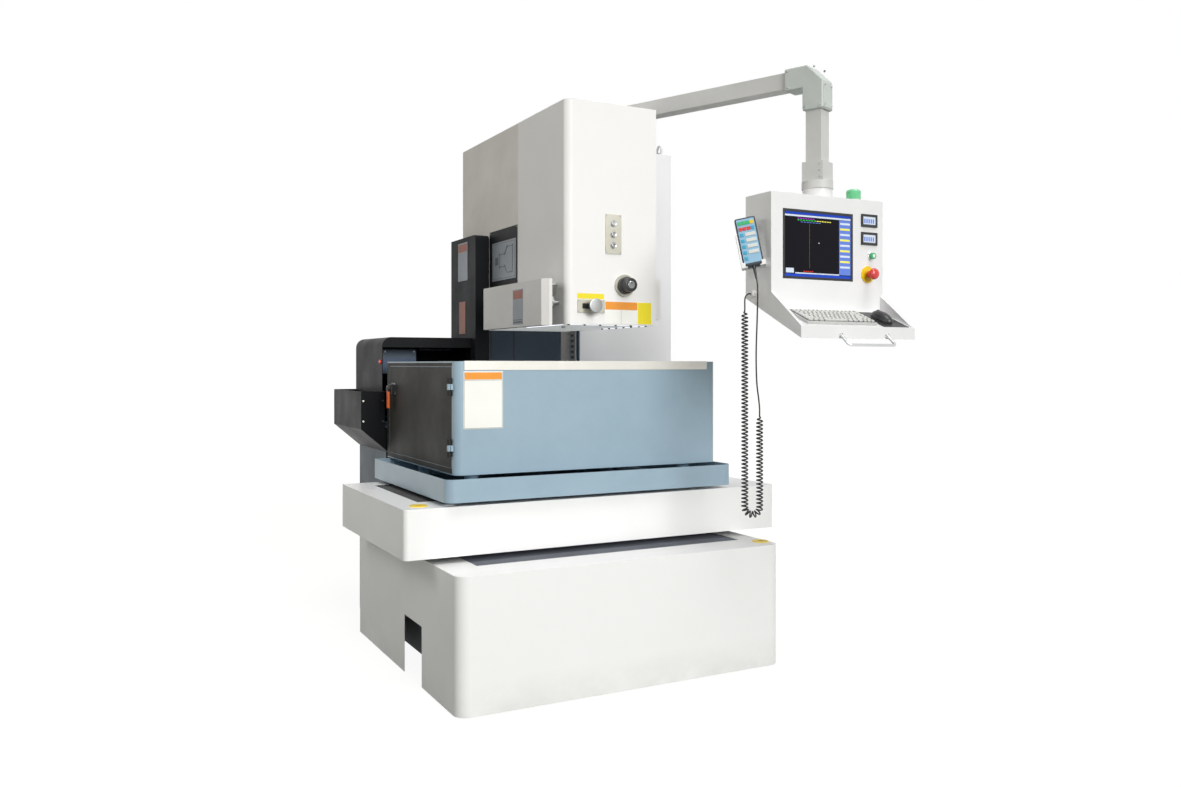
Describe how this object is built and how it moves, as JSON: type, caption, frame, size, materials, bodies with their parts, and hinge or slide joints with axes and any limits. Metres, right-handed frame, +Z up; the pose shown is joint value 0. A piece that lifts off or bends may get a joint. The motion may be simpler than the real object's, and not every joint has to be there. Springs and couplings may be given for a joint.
{
  "type": "wire edm machine",
  "caption": "Wire-cutting spark erosion machine with a white base and C frame head, blue-grey work tank, cabinet and a control pendant on a swing arm.",
  "frame": {"origin": "on the floor, under the middle of the machine's outline", "axes": "+Z up, +Y towards the back, +X to the operator's right"},
  "size_m": [1.631, 2.06, 2.157],
  "materials": {
    "dark_steel": "dark",
    "cast_iron": "painted",
    "white_paint": "semi-gloss",
    "steel": "satin",
    "grey_bellows": "coated fabric",
    "slate_paint": "satin",
    "textured_white": "fine texture",
    "lamp_white": "translucent",
    "black_paint": "fine texture",
    "brass_wire": "bright",
    "cabinet_white": "fine texture",
    "electrics": "matt",
    "arm_grey": "satin",
    "black_bellows": "coated fabric",
    "blue_paint": "satin",
    "stainless": "brushed",
    "charcoal_paint": "fine texture",
    "orange_plastic": "gloss",
    "motor_blue": "satin",
    "chrome": "polished",
    "black_plastic": "satin",
    "pendant_white": "semi-gloss",
    "grey_plastic": "matt",
    "green_plastic": "gloss",
    "red_plastic": "gloss",
    "green_lens": "translucent",
    "handset_blue": "matt",
    "cord_black": "matt"
  },
  "bodies": {
    "machine": {"leveling_feet": "dark_steel", "bed_casting": "cast_iron", "base_cover": "white_paint", "y_drive": "steel", "y_bellows_front": "grey_bellows", "y_bellows_rear": "grey_bellows", "column_casting": "cast_iron", "column_cover": "slate_paint", "head_front_cover": "textured_white", "head_rear_cover": "textured_white", "head_floor": "lamp_white", "wire_tower": "black_paint", "drum_pedestal": "black_paint", "drum_hood": "black_paint", "wire_hopper": "black_paint", "lower_arm": "cast_iron", "cutting_wire": "brass_wire", "cabinet_body": "cabinet_white", "cabinet_electrics": "electrics", "head_fittings": "steel", "wheel_bracket": "steel", "arm_post": "arm_grey"},
    "saddle": {"saddle_casting": "cast_iron", "saddle_cover": "white_paint", "x_drive": "steel", "x_bellows_left": "black_bellows", "x_bellows_right": "black_bellows"},
    "table": {"table_carriage": "cast_iron", "drip_pan": "blue_paint", "work_tank": "blue_paint", "work_frame": "steel", "tank_trim_strip": "stainless"},
    "tank_door": {"tank_door": "charcoal_paint"},
    "tank_latch": {"tank_latch": "orange_plastic"},
    "wire_guide_slide": {"z_slide": "steel"},
    "arm_cover": {"left_arm_cover": "textured_white"},
    "drum_carriage": {"drum_carriage": "motor_blue"},
    "wire_drum": {"wire_drum": "steel"},
    "front_wire_wheel": {"wheel_front": "steel"},
    "rear_wire_wheel": {"wheel_rear": "steel"},
    "top_button": {"button_top": "chrome"},
    "middle_button": {"button_middle": "chrome"},
    "bottom_button": {"button_bottom": "chrome"},
    "dial": {"dial_knob": "black_plastic"},
    "slide_knob": {"slide_knob": "stainless"},
    "cabinet_door": {"cabinet_door": "cabinet_white"},
    "swing_arm": {"arm_beam": "arm_grey", "arm_elbow": "arm_grey", "drop_tube": "arm_grey"},
    "pendant": {"pendant_case": "pendant_white", "pendant_fittings": "black_plastic", "keyboard_and_mouse": "grey_plastic", "beacon": "green_lens", "pendant_handle": "chrome", "handset_holder": "pendant_white", "handset": "handset_blue", "cord_leads": "cord_black", "cord_curls": "cord_black"},
    "start_button": {"start_button": "green_plastic"},
    "emergency_stop": {"emergency_stop": "red_plastic"}
  },
  "joints": [
    {"name": "y_axis", "type": "slide", "parent": "machine", "child": "saddle", "axis": [0, 1, 0], "range_m": [-0.25, 0], "deforming": ["y_bellows_front", "y_bellows_rear"]},
    {"name": "x_axis", "type": "slide", "parent": "saddle", "child": "table", "axis": [1, 0, 0], "range_m": [-0.16, 0.16], "deforming": ["x_bellows_left", "x_bellows_right"]},
    {"name": "tank_door_hinge", "type": "hinge", "parent": "table", "child": "tank_door", "pos_m": [-0.626, -0.2821, 0.744], "axis": [0, 0, 1], "range_deg": [0, 100]},
    {"name": "tank_latch_turn", "type": "hinge", "parent": "tank_door", "child": "tank_latch", "pos_m": [-0.6408, 0.3919, 1.00136], "axis": [1, 0, 0], "range_deg": [0, 90]},
    {"name": "z_axis", "type": "slide", "parent": "machine", "child": "wire_guide_slide", "axis": [0, 0, 1], "range_m": [-0.18, 0]},
    {"name": "arm_cover_hinge", "type": "hinge", "parent": "machine", "child": "arm_cover", "pos_m": [-0.2085, -0.2386, 1.403], "axis": [0, 1, 0], "range_deg": [0, 95]},
    {"name": "drum_traverse", "type": "slide", "parent": "machine", "child": "drum_carriage", "axis": [1, 0, 0], "range_m": [-0.04, 0.04]},
    {"name": "drum_spin", "type": "hinge", "parent": "drum_carriage", "child": "wire_drum", "pos_m": [-0.4145, 0.7544, 1], "axis": [1, 0, 0], "continuous": true},
    {"name": "front_wheel_spin", "type": "hinge", "parent": "machine", "child": "front_wire_wheel", "pos_m": [-0.2015, -0.1786, 1.33], "axis": [1, 0, 0], "continuous": true},
    {"name": "rear_wheel_spin", "type": "hinge", "parent": "machine", "child": "rear_wire_wheel", "pos_m": [-0.2015, 0.2894, 1.33], "axis": [1, 0, 0], "continuous": true},
    {"name": "top_button_press", "type": "slide", "parent": "machine", "child": "top_button", "axis": [0, 1, 0], "range_m": [0, 0.003], "stiffness_N_per_m": 400},
    {"name": "middle_button_press", "type": "slide", "parent": "machine", "child": "middle_button", "axis": [0, 1, 0], "range_m": [0, 0.003], "stiffness_N_per_m": 400},
    {"name": "bottom_button_press", "type": "slide", "parent": "machine", "child": "bottom_button", "axis": [0, 1, 0], "range_m": [0, 0.003], "stiffness_N_per_m": 400},
    {"name": "dial_turn", "type": "hinge", "parent": "machine", "child": "dial", "pos_m": [0.0815, -0.2426, 1.396], "axis": [0, -1, 0], "range_deg": [-150, 150]},
    {"name": "slide_knob_travel", "type": "slide", "parent": "machine", "child": "slide_knob", "axis": [1, 0, 0], "range_m": [-0.024, 0]},
    {"name": "cabinet_door_hinge", "type": "hinge", "parent": "machine", "child": "cabinet_door", "pos_m": [0.7765, 1.0027, 1], "axis": [0, 0, 1], "range_deg": [-110, 0]},
    {"name": "arm_swing", "type": "hinge", "parent": "machine", "child": "swing_arm", "pos_m": [0.13557, 0.29389, 2.087], "axis": [0, 0, 1], "range_deg": [-15, 45]},
    {"name": "pendant_swivel", "type": "hinge", "parent": "swing_arm", "child": "pendant", "pos_m": [0.5755, -0.7578, 1.717], "axis": [0, 0, 1], "range_deg": [-5, 75]},
    {"name": "start_button_press", "type": "slide", "parent": "pendant", "child": "start_button", "axis": [0, 1, 0], "range_m": [0, 0.003], "stiffness_N_per_m": 400},
    {"name": "emergency_stop_press", "type": "slide", "parent": "pendant", "child": "emergency_stop", "axis": [0, 1, 0], "range_m": [0, 0.005], "stiffness_N_per_m": 600}
  ],
  "couplings": [
    {"joint": "front_wheel_spin", "follows": "drum_spin", "ratio": 2.6667},
    {"joint": "rear_wheel_spin", "follows": "drum_spin", "ratio": 2.6667}
  ]
}
